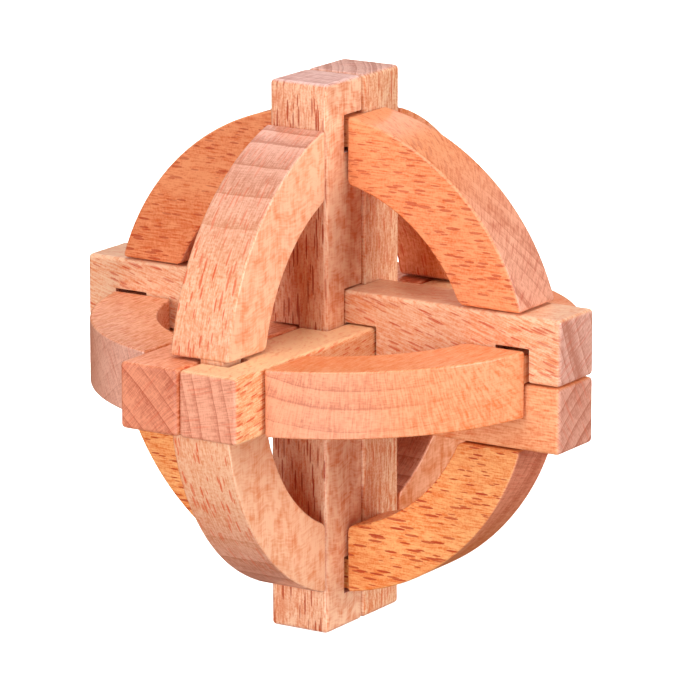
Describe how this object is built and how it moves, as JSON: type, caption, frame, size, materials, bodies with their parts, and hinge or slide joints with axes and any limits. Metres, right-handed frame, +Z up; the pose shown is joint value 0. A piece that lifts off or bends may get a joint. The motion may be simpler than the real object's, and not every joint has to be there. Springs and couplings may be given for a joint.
{
  "type": "wooden burr puzzle",
  "caption": "Wooden interlocking burr ball of crossed square bars locked by half-rings, opened by sliding out one plain key bar.",
  "frame": {"origin": "centre of the foot, between the lower ends of the two upright bars, on the surface that the puzzle stands on", "axes": "+Z up along the upright pair, +X along the pair that runs from left to right, +Y from the front to the back along the pair that holds the key bar"},
  "size_m": [0.098, 0.098, 0.098],
  "materials": {
    "key_bar": "sanded and waxed beech, salmon tone",
    "right_notched_bar": "sanded and waxed beech, warm peach",
    "upper_notched_bar": "sanded and waxed beech, light peach",
    "lower_bar": "sanded and waxed beech, orange",
    "front_notched_bar": "sanded and waxed beech, pinkish peach",
    "back_bar": "sanded and waxed beech, peach",
    "top_half_ring": "sanded and waxed beech, strong orange",
    "bottom_half_ring": "sanded and waxed beech, strong orange",
    "right_half_ring": "sanded and waxed beech, peach",
    "left_half_ring": "sanded and waxed beech, orange brown",
    "front_half_ring": "sanded and waxed beech, pinkish",
    "back_half_ring": "sanded and waxed beech, peach"
  },
  "bodies": {
    "frame": {"right_notched_bar": "right_notched_bar", "upper_notched_bar": "upper_notched_bar", "lower_bar": "lower_bar", "front_notched_bar": "front_notched_bar", "back_bar": "back_bar", "top_half_ring": "top_half_ring", "bottom_half_ring": "bottom_half_ring", "right_half_ring": "right_half_ring", "left_half_ring": "left_half_ring", "front_half_ring": "front_half_ring", "back_half_ring": "back_half_ring"},
    "key": {"key_bar": "key_bar"}
  },
  "joints": [
    {"name": "key_slide", "type": "slide", "parent": "frame", "child": "key", "axis": [0, -1, 0], "range_m": [-0.098, 0.098]}
  ]
}
